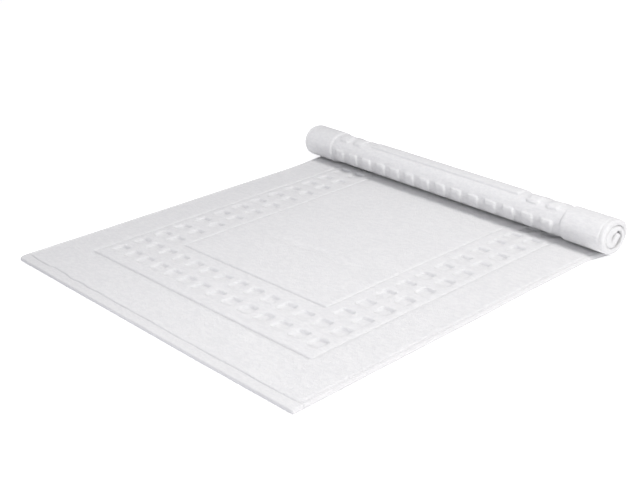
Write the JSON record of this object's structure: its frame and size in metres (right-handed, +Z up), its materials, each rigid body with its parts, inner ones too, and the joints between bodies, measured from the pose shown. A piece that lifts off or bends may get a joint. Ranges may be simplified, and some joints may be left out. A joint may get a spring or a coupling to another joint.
{
  "type": "bath mat",
  "caption": "White cotton terry bath mat with a woven border of small blocks, lying flat with its far end rolled up on itself.",
  "frame": {"origin": "on the floor, below the middle of the mat as it lies, with its far end rolled up", "axes": "+X across the mat, +Y along it from the flat front hem to the roll, +Z up from the floor"},
  "size_m": [0.5, 0.5144, 0.048],
  "materials": {
    "terry": "matt looped cotton terry with a woven pattern",
    "hem_weave": "matt folded cotton hem, plain weave with short pile",
    "thread": "matt cotton sewing thread"
  },
  "bodies": {
    "root": {"terry_body": "terry", "end_hem_front": "hem_weave", "end_hem_rear": "hem_weave", "side_hem_left": "hem_weave", "side_hem_right": "hem_weave", "end_hem_front_stitch": "thread", "end_hem_rear_stitch": "thread", "side_hem_left_stitch": "thread", "side_hem_right_stitch": "thread"}
  },
  "joints": []
}
